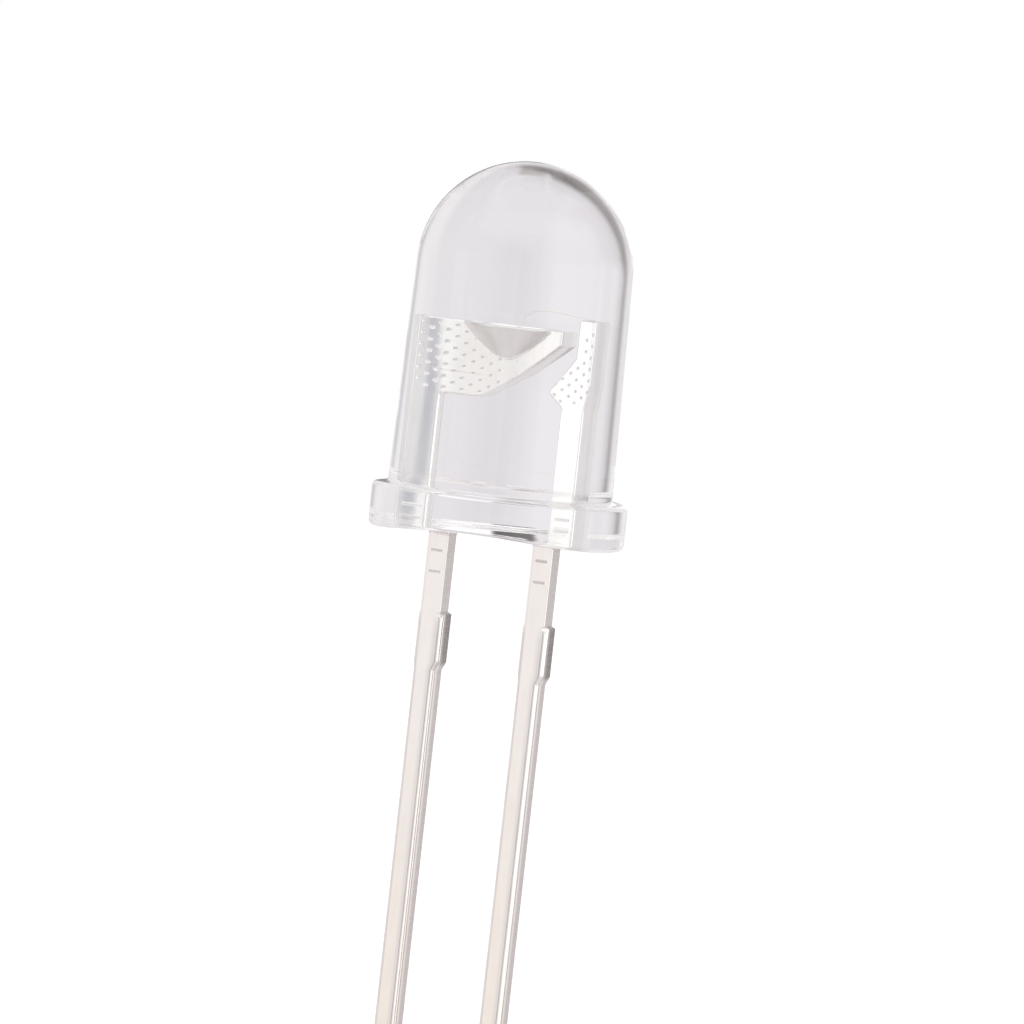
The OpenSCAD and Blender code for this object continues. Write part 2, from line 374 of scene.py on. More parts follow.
def round_corner(before, corner, after):
    """Points on the arc of radius corner[2] that touches both sides of a corner: its centre
    lies on the bisector, radius / sin(half angle) away, and it starts and ends square to
    the sides."""
    point = np.array(corner[:2])
    radius = corner[2]
    if radius == 0:
        return point[None]
    to_before, to_after = unit(np.array(before[:2]) - point), unit(np.array(after[:2]) - point)
    half = math.acos(float(to_before @ to_after)) / 2
    centre = point + unit(to_before + to_after) * radius / math.sin(half)
    first = point + to_before * radius / math.tan(half) - centre
    last = point + to_after * radius / math.tan(half) - centre
    start = math.atan2(first[1], first[0])
    turn = (math.atan2(last[1], last[0]) - start + math.pi) % (2 * math.pi) - math.pi
    angle = start + turn * np.linspace(0, 1, ARC_POINTS)
    return centre + radius * np.stack([np.cos(angle), np.sin(angle)], axis=1)


def rounded(corners):
    """The closed outline with every corner rounded, as an array of points (x, z)."""
    count = len(corners)
    return np.concatenate([round_corner(corners[i - 1], corners[i], corners[(i + 1) % count])
                           for i in range(count)])


print("points on a rounded corner:", ARC_POINTS)

# %% [markdown]
# ## The two outlines
#
# Both leads share the straight part with the stub where the tie bar was cut off. Above it
# the cathode widens into the anvil that carries the cup, and the anode into a toe and a
# post. Every corner is built from the boxes of the construction model and a few widths.

# %% The two outlines
STUB_TOP, STUB_END = -1.9, -3.0      # the tie bar was cut off between these heights
STUB_TAPER, STUB_SHOULDER = 0.2, 0.05        # heights of its slopes below and above
STUB_OUT, STUB_BACK = 0.09, 0.02     # how far it stands out on the right and on the left


def lead_side(x, way, stub, tip):
    """Corners of one side of a lead, from the tip up past the tie bar stub. way is the side's
    direction in x and stub is how far the stub stands out there."""
    edge, proud = x + way * LEAD_W / 2, x + way * (LEAD_W / 2 + stub)
    return [(edge, tip, 0), (edge, STUB_END - STUB_TAPER, 0), (proud, STUB_END, 0),
            (proud, STUB_TOP, 0), (edge, STUB_TOP + STUB_SHOULDER, 0)]


INNER, OUTER = LEAD_X - LEAD_W / 2, LEAD_X + LEAD_W / 2
ANVIL_Z, ANVIL_RIGHT, ANVIL_END = 3.16, float(cathode_high[0]), 0.32
ANVIL_HEEL = -0.42           # x where the underside of the anvil starts to climb
ANVIL_ROUND, ANVIL_BEND = 0.08, 0.4  # radii of its tight and its wide corners
cathode_right = lead_side(-LEAD_X, 1, STUB_OUT, CATHODE_TIP) + [
    (-INNER, ANVIL_Z, ANVIL_ROUND), (ANVIL_HEEL, ANVIL_Z, ANVIL_BEND),
    ((ANVIL_RIGHT + ANVIL_HEEL) / 2, (ANVIL_Z + RIM_Z - ANVIL_END - STRIP / 4) / 2,
     ANVIL_BEND),
    (ANVIL_RIGHT, RIM_Z - ANVIL_END, ANVIL_ROUND), (ANVIL_RIGHT, RIM_Z, 0)]
cathode_left = [(-OUTER, RIM_Z, ANVIL_ROUND)] \
    + lead_side(-LEAD_X, -1, STUB_BACK, CATHODE_TIP)[::-1]

POST_OUT = float(anode_high[0])
POST_IN = POST_OUT - 0.4     # the post is 0.4 mm wide
POST_STEP, POST_SLANT = 3.7, 4.27    # where its outer and its inner side grow upright
TOE_Z, TOE_REACH, TOE_END = 3.45, 0.3, 3.12
POST_ROUND, TOE_ROUND = 0.04, 0.12
anode_right = lead_side(LEAD_X, 1, STUB_OUT, ANODE_TIP) + [
    (OUTER, TOE_END, 0), (POST_OUT, POST_STEP, POST_ROUND), (POST_OUT, POST_Z, POST_ROUND)]
anode_left = [(POST_IN, POST_Z, POST_ROUND), (POST_IN, POST_SLANT, POST_ROUND),
              (INNER - TOE_REACH, TOE_Z, TOE_ROUND), (INNER, TOE_END, POST_ROUND)] \
    + lead_side(LEAD_X, -1, STUB_BACK, ANODE_TIP)[::-1]
print("corners:", len(cathode_right + cathode_left), "and", len(anode_right + anode_left))

# %% [markdown]
# ## Marks of the press on the front
#
# The anvil and the post carry a grid of small dimples that key the resin to the metal. They
# are pressed into the front with the notches that stop solder from wicking up, and a thin
# scribed line crosses the anvil. Each is a depth over x and z from 0 to 1 of its own size,
# so the same numbers press the metal in, tell the finish where it is dull, and paint shade
# into the colour of the hollows.

# %% Pressed marks
DIMPLE_COLUMN, DIMPLE_ROW, DIMPLE_R, DIMPLE_DEPTH = 0.142, 0.262, 0.046, 0.011
NOTCHES = np.array([-0.94, -0.45, 0.30, 0.57])       # heights on the cathode
NOTCH_RISE = 0.07            # and how much higher they are on the anode
NOTCH_DEPTH, NOTCH_HALF, NOTCH_END = 0.016, 0.04, (0.12, 0.17)
SCRIBE_Z, SCRIBE_DEPTH, SCRIBE_HALF = 3.67, 0.006, 0.018


def dimples(x, z):
    """A diamond grid of bowls. Every second column is half a row lower. The nearest centre
    is found by rounding, and the bowl round it is (1 - (distance / radius)^2)^2."""
    column = np.round(x / DIMPLE_COLUMN)
    shift = (column % 2) * 0.5
    row = np.round(z / DIMPLE_ROW - shift) + shift
    wander = 0.008 * np.sin(12.9 * column + 78.2 * row)
    away = np.hypot(x - column * DIMPLE_COLUMN - wander, z - row * DIMPLE_ROW - wander / 2)
    return np.clip(1 - (away / DIMPLE_R) ** 2, 0, 1) ** 2


def notches(x, z, centre):
    """V grooves across the lead: each falls off evenly with distance from its line, and dies
    out over NOTCH_END on either side of the lead's middle."""
    across = 1 - smooth(*NOTCH_END, np.abs(x - centre))
    lines = NOTCHES + (NOTCH_RISE if centre > 0 else 0)
    away = np.abs(z[..., None] - lines).min(axis=-1)
    return np.clip(1 - away / NOTCH_HALF, 0, 1) * across


def scribed(x, z):
    """One shallow line across the anvil, dying out at both ends."""
    along = smooth(-1.38, -1.25, x) * (1 - smooth(-0.5, -0.3, x))
    return np.clip(1 - np.abs(z - SCRIBE_Z) / SCRIBE_HALF, 0, 1) * along


print("dimple grid", DIMPLE_COLUMN, "x", DIMPLE_ROW, "mm")

# %% [markdown]
# ## From outline to stamping
#
# A row of the stamping is a flat loop: along the front from left to right, round the punched
# side, back along the rear face, and round the other side. Rows are packed closely where
# the outline turns or a mark is pressed, and thinly along the plain leads. Punching draws
# the front down along one side in a roll-over, which is broad where the metal was thick
# or pulled, and that roll is what draws a bright line along every lead.

# %% Rows and columns of a stamping
FRONT, SIDE, REAR = 152, 7, 58       # points along the front, one side and the rear
NEAR = np.array([0, 0.05, 0.18, 0.4, 0.7, 1.1])   # places of points over a roll
BURR = 0.015                 # radius left on the rear edge
ROLL = 0.025                 # radius of the roll on a left edge
ROLL_HEIGHTS = [STUB_END - 0.25, STUB_END, STUB_TOP, STUB_TOP + 0.05, -0.1, 0.1]
RIGHT_ROLLS = [0.13, 0.15, 0.15, 0.03, 0.03, 0.05]     # radii on a right edge there
DEEPENINGS = [1.9, 1.4, 1.4, 1.0, 1.0, 1.0]            # and how much deeper than wide
HEAD_ROLL = 0.04             # radius all round a head
TIP_STEP, LEAD_STEP, HEAD_STEP = 0.25, 0.1, 0.019      # from row to row
NOTCH_ROWS = np.linspace(-0.042, 0.112, 22)  # over a notch and the anode's, a bit higher
TEAR = 0.010                 # depth of the torn part of a punched side


def distance_to_outline(x, z, outline):
    """Shortest distance from each point to the closed outline: the point is dropped on to
    every segment, kept between its ends, and the nearest drop wins."""
    nearest = np.full(x.shape, 9.0)
    for start, end in zip(outline, np.roll(outline, -1, axis=0)):
        along = end - start
        t = ((x - start[0]) * along[0] + (z - start[1]) * along[1]) / max(along @ along, 1e-12)
        t = np.clip(t, 0, 1)
        nearest = np.minimum(nearest, np.hypot(x - start[0] - t * along[0],
                                               z - start[1] - t * along[1]))
    return nearest


def roll_radius(z, right, head_from):
    """Radius of the rolled-over front edge, by height. The right edge is broad below the
    tie bar and on it, and sharper above, and a head has the same radius all round."""
    lead = np.interp(z, ROLL_HEIGHTS, RIGHT_ROLLS) if right else ROLL + 0 * z
    return lead + (HEAD_ROLL - lead) * smooth(head_from - 0.15, head_from, z)


def rollover(distance, radius):
    """How far a face falls back near its outline: a quarter circle of the given radius."""
    inside = np.clip(radius - distance, 0, radius)
    return radius - np.sqrt(radius ** 2 - inside ** 2)


def stamping_rows(outline, tip, top, head_from):
    """Heights of the rows: every corner of the outline, close rows at both ends and at the
    notches, and even steps that grow shorter towards the stub and the head."""
    ends = 0.05 * np.array([0, 0.04, 0.15, 0.35, 0.65, 1.0])
    heights = np.concatenate([
        outline[:, 1], outline[:, 1] - 2e-3, tip + ends, top - ends,
        (NOTCHES[:, None] + NOTCH_ROWS).reshape(-1),
        np.arange(tip, STUB_END - 0.5, TIP_STEP),
        np.arange(STUB_END - 0.5, head_from, LEAD_STEP),
        np.arange(head_from, top, HEAD_STEP), [head_from + 1e-3]])
    heights = np.unique(np.round(np.clip(heights, tip, top), 4))
    keep = np.concatenate([[True], np.diff(heights) > 8e-4])
    keep[-1] = True
    return heights[keep]


def climbing(part, heights):
    """x of an outline part at each height. The part's heights never fall, so they only need
    a hair's breadth between equal ones for the interpolation to be clear."""
    z = np.maximum.accumulate(part[:, 1]) + np.arange(len(part)) * 1e-7
    return np.interp(heights, z, part[:, 0])


def face_columns(left, right, left_roll, right_roll, count):
    """x of the points along one face, row by row: six over the roll at each side, and the
    rest evenly between them."""
    low = left[:, None] + left_roll[:, None] * NEAR
    high = right[:, None] - right_roll[:, None] * NEAR[::-1]
    even = np.linspace(0, 1, count - 2 * len(NEAR) + 2)[1:-1]
    return np.concatenate([low, low[:, -1:] + even * (high[:, :1] - low[:, -1:]), high],
                          axis=1)


print("points along the front, one side and the rear:", FRONT, SIDE, REAR)

# %% [markdown]
# ## The front of a stamping
#
# The front is the side that the punch came down on. Each mark is a depth taken off it, so
# marks can lie on a bowed face without cutting a mesh, and the same depths tell the plating
# where to be dull and where to paint shade into its colour. Shade is also painted into the
# plating along the edges that stand out.

# %% The front of a stamping


def soft_maximum(first, second, soft=0.012):
    """The higher of two heights with the valley between them filled:
    soft * log(exp(first / soft) + exp(second / soft))."""
    return soft * np.logaddexp(first / soft, second / soft)


def pressed_front(x, z, gap, centre, head_from, top, keyed, bow):
    """Half depth of the front, and how dull its marks are, which also sets the shade painted
    into their colour. In the resin it falls back across the lead by bow (1.45 t - 0.45 t^2),
    fading up the head, and the marks are pressed in wherever it is clear of the outline.
    Notches are half as deep there."""
    pits, grooves, line = dimples(x, z) * keyed(x, z), notches(x, z, centre), scribed(x, z)
    clear, sealed = smooth(0.0, 0.03, gap), smooth(0.0, 0.15, z)
    up_head = smooth(head_from - 0.1, top, z)
    t = np.clip(((x - centre) / LEAD_W + 0.5) / (1 - 0.12 * up_head), 0, 1)
    fallen = bow * (1.45 * t - 0.45 * t ** 2) * smooth(-0.2, 0.2, z) * (1 - 0.8 * up_head)
    pressed = DIMPLE_DEPTH * pits + NOTCH_DEPTH * (1 - 0.5 * sealed) * grooves \
        + SCRIBE_DEPTH * line
    # the dullness also darkens the colour, which is painted shade in the hollows; it is left
    # off the dimples at the far left
    dull = 0.65 * pits * smooth(-1.12, -1.0, x) + grooves * (0.75 - 0.4 * sealed) \
        + 0.35 * line
    return STRIP / 2 - fallen - clear * pressed, clear * np.clip(dull, 0, 1)


def edge_shade_across(x, z, left, right, roll):
    """How much shade is painted into the plating's colour: along the left edge, and below the
    tie bar also from the middle to the outer half of the right roll."""
    across = (x - left) / (right - left)
    flat_part = smooth(0.3, 0.5, (right - x) / roll)
    below_tie_bar = 1 - smooth(STUB_TOP - 0.3, STUB_TOP + 0.1, z)
    return 0.9 * smooth(0.5, 0.85, across) * flat_part * below_tie_bar \
        + (0.4 + 0.6 * below_tie_bar) * (1 - smooth(0.06, 0.16, across))


def looped(front, right_side, rear, left_side):
    """Loops of four parts, row by row. A side or a rear that is a number has that value
    at every point."""
    rows = len(front)
    counts = (FRONT, SIDE, REAR, SIDE)
    return np.concatenate([np.broadcast_to(part, (rows, count)) for part, count in
                           zip((front, right_side, rear, left_side), counts)], axis=1)


print("pressed in, mm:", NOTCH_DEPTH, DIMPLE_DEPTH, SCRIBE_DEPTH)

# %% [markdown]
# ## Faces and sides as one skin
#
# The two faces come first, because the punched sides only join their edges. The marks for
# the plating come last and read the same distances to the outline, so that the colour of an
# edge always follows its shape.

# %% The whole skin of a stamping


def stamping_skin(right_corners, left_corners, centre, head_from, keyed, bow=0, cone=None):
    """All rings of a stamping from its tip to its top, and its marks. keyed tells where
    the dimples are, bow is how far the face in the resin falls back, and cone is a second
    height that stands out of both faces. Each punched side tears off a little inwards."""
    outline = rounded(right_corners + left_corners)
    turned = sum(1 if corner[2] == 0 else ARC_POINTS for corner in right_corners)
    tip, top = float(outline[:, 1].min()), float(outline[:, 1].max())
    heights = stamping_rows(outline, tip, top, head_from)
    left, right = climbing(outline[turned:][::-1], heights), climbing(outline[:turned], heights)
    left_roll = roll_radius(heights, False, head_from)
    right_roll = roll_radius(heights, True, head_from)
    flat = np.full(len(heights), BURR)
    front_x = face_columns(left, right, left_roll, right_roll, FRONT)
    rear_x = face_columns(left, right, flat, flat, REAR)[:, ::-1]
    left, right, right_roll = left[:, None], right[:, None], right_roll[:, None]
    front_z, rear_z = (np.repeat(heights[:, None], count, axis=1) for count in (FRONT, REAR))
    gap = distance_to_outline(front_x, front_z, outline)
    rear_gap = distance_to_outline(rear_x, rear_z, outline)

    # both faces, pressed, raised by the cone and rolled over along their edges
    height, dull = pressed_front(front_x, front_z, gap, centre, head_from, top, keyed, bow)
    rear, drawn = np.full(rear_x.shape, STRIP / 2), [0, 0]
    if cone is not None:
        drawn = [smooth(-0.02, 0.03, cone(at_x, at_z) - STRIP / 2)
                 for at_x, at_z in ((front_x, front_z), (rear_x, rear_z))]
        height = soft_maximum(height, cone(front_x, front_z))
        rear = soft_maximum(rear, cone(rear_x, rear_z))
    at_right = front_x > centre
    roll = np.where(at_right, right_roll, left_roll[:, None])
    deeper = np.where(at_right, np.interp(heights, ROLL_HEIGHTS, DEEPENINGS)[:, None], 1)
    front_y = -height + deeper * rollover(gap, roll)
    rear_y = rear - rollover(rear_gap, BURR)

    # the punched sides between the faces
    share = np.linspace(0, 1, SIDE + 2)[1:-1]
    torn = TEAR * smooth(0.35, 0.6, share)
    right_y = front_y[:, -1:] + share * (rear_y[:, :1] - front_y[:, -1:])
    left_y = rear_y[:, -1:] + share * (front_y[:, :1] - rear_y[:, -1:])
    x = looped(front_x, right - torn, rear_x, left + torn[::-1])
    y = looped(front_y, right_y, rear_y, left_y)
    z = np.repeat(heights[:, None], x.shape[1], axis=1)

    # what the plating has to know at each point
    # Punched walls are duller and darker. Painted shade: the darkening also covers the outer
    # part of the front's roll, and in the resin only a tenth of it is kept.
    wall = looped(1 - smooth(0.0, 0.25, gap / roll * deeper ** 3), 1,
                  1 - smooth(0.2, 0.9, rear_gap / BURR), 1)
    outside = 1 - smooth(-0.1, 0.1, z)
    proud = np.abs(x - centre) - LEAD_W / 2
    sheared = (z < STUB_TOP + 0.02) & (z > STUB_END - 0.03) & (proud > 0.5 * STUB_BACK)
    # painted shade along the edges of the front, outside the resin only
    painted_edge_shade = edge_shade_across(front_x, front_z, left, right, right_roll) * outside[:, :FRONT]
    marks = {"side": wall * (0.1 + 0.9 * outside), "bare": wall * sheared,
             "drawn": looped(drawn[0] + 0 * front_x, 0, drawn[1], 0),
             "painted_edge_shade": looped(painted_edge_shade, 0, 0, 0), "pit_dull_and_shade": looped(dull, 0, 0, 0)}
    return np.stack([x, y, z], axis=-1), marks


def marks_with_ends(marks, extra):
    """Marks for the skin with its poles: the foot's pole is a bare side, and the extra
    rings at the top and their pole are plain faces."""
    return {name: np.concatenate([np.full((1, values.shape[1]), float(name == "side")),
                                  values, np.zeros((extra + 1, values.shape[1]))])
            for name, values in marks.items()}


print("loop of a stamping:", FRONT + REAR + 2 * SIDE, "points")

# %% [markdown]
# ## The cathode: lead, anvil and reflector cup
#
# The cup is pressed into the top of the anvil, which pushes a cone out of both faces. The
# cone is laid over the faces as a second height, and the higher of the two wins. On top,
# the loop of the last row is drawn in to the circle of the mouth, and the rings run on down
# the polished reflector to its floor. That way lead, anvil and cup stay one skin.

# %% Cathode
CUP_R, CUP_DEPTH, CUP_CONE, CUP_SHIFT = 0.79, 0.5, 0.74, 0.055
MOUTH_R, FLOOR_R, LIP, BRIM_ROUND = 0.62, 0.28, 0.02, 0.06
CONE_BELLY, ANVIL_BOW = 0.015, 0.027
CUP_SLOPE = (CUP_R - STRIP / 2) / CUP_CONE


def cup_radius(z):
    """Radius of the cone: CUP_R at the rim, and half the strip's thickness CUP_CONE lower,
    with a slight belly between and the brim rounded by a quarter circle."""
    depth = RIM_Z - z
    belly = CONE_BELLY * np.sin(math.pi * np.clip(depth / CUP_CONE, 0, 1))
    return np.clip(CUP_R - CUP_SLOPE * depth + belly - rollover(depth, BRIM_ROUND), 0, None)


def cup_cone(x, z):
    """Half depth of the cone: the root of its radius squared less x squared, measured from
    CUP_SHIFT towards the lead, where the press pushes the metal."""
    return np.sqrt(np.clip(cup_radius(z) ** 2 - (x + CUP_SHIFT) ** 2, 0, None))


def anvil_keyed(x, z):
    """1 where the anvil is dimpled: above its lower edge and 0.1 mm clear of the cone."""
    cone_edge = np.sqrt(np.clip(cup_radius(z) ** 2 - (STRIP / 2) ** 2, 0, None))
    return np.where(z > ANVIL_Z + 0.05, smooth(0.08, 0.13, np.abs(x) - cone_edge), 0) \
        * (1 - smooth(0.0, 0.25, x))


def cup_rings(last):
    """Rings from the loop at the rim inwards: to the mouth's circle by drawing each point
    straight towards the axis, over its rounded lip, and down the cone to the floor."""
    angle = np.arctan2(last[:, 1], last[:, 0])
    reach = np.hypot(last[:, 0], last[:, 1])
    brim = MOUTH_R + LIP
    turns = np.radians([30, 60, 90])
    slide = np.linspace(0.08, 1, 12)
    radii = [reach + (brim - reach) * share for share in (0.35, 0.7, 0.92)] \
        + [brim - LIP * math.sin(turn) for turn in turns] \
        + [MOUTH_R + (FLOOR_R - MOUTH_R) * share for share in slide]
    heights = [RIM_Z] * 3 + [RIM_Z - LIP * (1 - math.cos(turn)) for turn in turns] \
        + [RIM_Z - CUP_DEPTH * share for share in slide]
    return level_rings(angle, zip(radii, heights))


skin, marks = stamping_skin(cathode_right, cathode_left, -LEAD_X, ANVIL_Z, anvil_keyed,
                            bow=ANVIL_BOW, cone=cup_cone)
inside_cup = cup_rings(skin[-1])
make_piece("cathode_stamping", between_poles(np.concatenate([skin, inside_cup])), silver,
           ["cathode_lead"], marks_with_ends(marks, len(inside_cup)))

# %% [markdown]
# ## The anode: lead and bonding post
#
# The other half of the frame is the same kind of stamping without a cup. Its head has a toe
# that the resin grips, and a post whose flat top takes the end of the bond wire.

# %% Anode


def post_keyed(x, z):
    """1 on the head between the toe and the top, away from the post's inner edge."""
    return smooth(TOE_END + 0.08, TOE_END + 0.18, z) \
        * (1 - smooth(POST_Z - 0.25, POST_Z - 0.15, z)) \
        * np.where(z > POST_SLANT - 0.17, smooth(POST_IN + 0.1, POST_IN + 0.18, x), 1)


skin, marks = stamping_skin(anode_right, anode_left, LEAD_X, TOE_END, post_keyed)
make_piece("anode_stamping", between_poles(skin), silver,
           ["anode_lead"], marks_with_ends(marks, 0))

# %% [markdown]
# ## Clear resin
#
# The lens is cast from water-clear epoxy, which has a higher index than window glass. It is
# poured and cured in a cup, so faint flow lines run along it, and it carries a breath of
# lilac from the dye that makers add against yellowing.

# %% Resin


def clear_resin():
    """Clear epoxy: full transmission at an index of 1.53, tinted a little by slow clouds,
    with a trace of flow lines 0.002 mm deep."""
    material, tree, shader = new_material("clear_resin", Transmission_Weight=1.0, IOR=1.53,
                                          Roughness=0.0)
    clouds = noise(tree, (2.0, 2.0, 6.0), 2.0)
    tint = tones(tree, clouds, (0.980, 0.974, 0.982), (0.990, 0.984, 0.990))
    feed(tree, shader, Base_Color=tint)
    bumped(tree, shader, noise(tree, (2.0, 2.0, 6.5), 2.0), 0.08, 0.002)
    return material


resin = clear_resin()
print("made", resin.name)

# %% [markdown]
# ## The lens, its flange and its underside
#
# The mould gives the lens a dome, a body with a slight draft and a flange with rounded
# edges. One side of the flange is flat to mark the cathode. The underside is where the resin
# was poured: it sinks into a shallow dish, creeps down round each lead, and its rim stands a
# little higher at the front and the back. The whole outside is one skin, turned from a
# section line and then flattened where the flat is.

# %% Section of the lens
BODY_R, DOME_R = 2.56, 2.46
FLANGE_TOP, FILLET = 1.04, 0.1
TOP_ROUND, LOW_ROUND = 0.12, 0.14
DISH_R, DISH_DEPTH, CREEP_SPREAD = 2.25, 0.18, 0.42
RIM_LIFT, LIFT_END, LIFT_ANGLE = 0.185, 0.3, math.radians(97)
AROUND = 480                 # points round the lens
FLAT_CORNER, POUR_EDGE = 0.012, 0.02     # softness at the flat's ends and round the creep


def arc_points(centre, radius, start, end, steps):
    """Points (radius, height) of an arc from start to end degrees."""
    angle = np.radians(np.linspace(start, end, steps))
    return np.stack([centre[0] + radius * np.cos(angle), centre[1] + radius * np.sin(angle)],
                    axis=1)


def line_points(start, end, steps):
    """Points evenly along a line, without its ends."""
    return np.linspace(start, end, steps + 2)[1:-1]


def lens_section():
    """Section line of the outside, from the flange's lower edge up to the dome's top."""
    dome_z = LENS_TOP - DOME_R
    top = FLANGE_TOP - TOP_ROUND
    return np.concatenate([
        arc_points((FLANGE_R - LOW_ROUND, LOW_ROUND), LOW_ROUND, -90, 0, 12),
        line_points((FLANGE_R, LOW_ROUND), (FLANGE_R, top), 6),
        arc_points((FLANGE_R - TOP_ROUND, top), TOP_ROUND, 0, 90, 12),
        line_points((FLANGE_R - TOP_ROUND, FLANGE_TOP), (BODY_R + FILLET, FLANGE_TOP), 2),
        arc_points((BODY_R + FILLET, FLANGE_TOP + FILLET), FILLET, 270, 180, 12),
        line_points((BODY_R, FLANGE_TOP + FILLET), (DOME_R, dome_z), 12),
        arc_points((0, dome_z), DOME_R, 0, 89.6, 56)])


print("points on the section:", len(lens_section()))

# %% [markdown]
# ## The flat and the poured side
#
# Turning the section gives a round lens. The flat is made afterwards by drawing the radii in
# to a straight line, and the poured side by giving each point under the flange the height
# of the resin there. Both are formulas of the same grid, so the skin stays whole.

# %% Lens


def flattened(radius, angle):
    """Radius after the flat has been cut. Outside the body, radii are drawn in by one share
    until the flange's own radius meets the chord flat / cos(angle), with a soft corner."""
    chord = np.minimum(FLAT_X / np.maximum(-np.cos(angle), 1e-3), 50)
    reach = -soft_maximum(-FLANGE_R, -chord, FLAT_CORNER)
    share = np.clip((radius - BODY_R) / (FLANGE_R - BODY_R), 0, None)
    return np.where(radius > BODY_R, BODY_R + (reach - BODY_R) * share, radius)


def rim_lift(angle):
    """How far the rim of the underside is lifted: RIM_LIFT cos(angle - LIFT_ANGLE)^4."""
    return RIM_LIFT * np.cos(angle - LIFT_ANGLE) ** 4


def resin_bed(x, y):
    """Height of the underside: the lower of a shallow ball-shaped dish and the resin that
    creeps down each lead, whose height follows a quarter circle of the distance to it. The
    dish takes on the rim's lift as it runs out."""
    ball = (DISH_R ** 2 + DISH_DEPTH ** 2) / (2 * DISH_DEPTH)
    dish = DISH_DEPTH - ball + np.sqrt(ball ** 2 - np.minimum(np.hypot(x, y), DISH_R) ** 2)
    dish = dish + rim_lift(np.arctan2(y, x)) * (1 - dish / DISH_DEPTH)
    out = np.hypot(np.clip(np.abs(np.abs(x) - LEAD_X) - LEAD_W / 2 + 0.012, 0, None),
                   np.clip(np.abs(y) - STRIP / 2 + 0.012, 0, None))
    share = np.clip(1 - out / CREEP_SPREAD, 0, 1)
    creep = -CREEP + (DISH_DEPTH + CREEP) * np.sqrt(1 - share ** 2)
    return -soft_maximum(-dish, -creep, POUR_EDGE)


turn = full_turn(AROUND)
section = lens_section()
bed_radius = np.concatenate([np.linspace(0.02, 0.7, 18), np.linspace(0.7, 2.1, 52)[1:],
                             np.linspace(2.1, 2.35, 9)[1:],
                             np.linspace(2.35, FLANGE_R - LOW_ROUND, 8)[1:-1]])
radius = flattened(np.concatenate([bed_radius, section[:, 0]])[:, None], turn)
x, y = radius * np.cos(turn), radius * np.sin(turn)
height = section[:, 1:]
z = np.concatenate([resin_bed(x, y)[:len(bed_radius)],
                    height + rim_lift(turn) * (1 - smooth(0, LIFT_END, height))])
make_piece("clear_lens", between_poles(np.stack([x, y, z], axis=-1)), resin,
           ["epoxy_lens"], crease=60)

# %% [markdown]
# ## Silver adhesive
#
# A dot of silver-filled epoxy holds the die to the cup and carries its current. The die
# squeezes it out into a flat pad whose edge wanders, and flakes make it dull and speckled.

# %% Adhesive
GLUE_R, GLUE_Z, GLUE_TOP = float(glue_high[0]), float(glue_low[2]), float(glue_high[2])


def silver_adhesive():
    """Cured silver-filled epoxy: a warm grey with coarse flakes and a dull sheen."""
    material, tree, shader = new_material("silver_adhesive", Metallic=0.6)
    flakes = noise(tree, (0.017, 0.017, 0.017), 4.0, 0.7)
    feed(tree, shader,
         Base_Color=tones(tree, flakes, (0.42, 0.41, 0.40), (0.74, 0.73, 0.71)),
         Roughness=tones(tree, flakes, 0.62, 0.40))
    bumped(tree, shader, flakes, 0.5, 0.003)
    return material


def adhesive_rings(around=96):
    """A pad with radius R (0.97 + 0.018 sin(3a + 0.7) + 0.012 sin 7a). Its edge is a
    quarter circle as high as the pad is thick, and its top and foot are flat."""
    angle = full_turn(around)
    edge = GLUE_R * (0.97 + 0.018 * np.sin(3 * angle + 0.7) + 0.012 * np.sin(7 * angle))
    thick = GLUE_TOP - GLUE_Z
    lifts = np.radians(np.linspace(0, 90, 8))
    outline = [(edge * share, 0) for share in (0.1, 0.5, 0.9)] \
        + [(edge - thick * (1 - math.cos(lift)), thick * math.sin(lift)) for lift in lifts] \
        + [(edge * share, thick) for share in (0.85, 0.5, 0.1)]
    return level_rings(angle, [(radius, GLUE_Z + height) for radius, height in outline])


make_piece("silver_adhesive_pad", between_poles(adhesive_rings()), silver_adhesive(),
           ["die_attach"])

# %% [markdown]
# ## The die
#
# The die is a block of crystal 0.3 mm square. The saw leaves its walls grey and lined, with
# a step where a second blade cut through, and the top is paler with a round gold pad for
# the wire. Rings that change from square to circle carry all of it in one skin.

# %% Die


def die_crystal():
    """Crystal with three finishes: sawn grey walls, a pale top by the mark top, and gold by
    the mark pad."""
    material, tree, shader = new_material("die_crystal", IOR=2.4)
    top, pad = mark(tree, "top"), mark(tree, "pad")
    sawn = noise(tree, (0.11, 0.11, 0.011), 3.0)
    speckle = noise(tree, (0.02, 0.02, 0.02), 2.0)
    wall = tones(tree, sawn, (0.20, 0.19, 0.20), (0.36, 0.35, 0.36))
    face = tones(tree, speckle, (0.55, 0.53, 0.50), (0.66, 0.64, 0.60))
    feed(tree, shader, Metallic=pad,
         Base_Color=mix(tree, pad, mix(tree, top, wall, face), (0.93, 0.78, 0.48, 1)),
         Roughness=tones(tree, sawn, 0.22, 0.42))
    return material


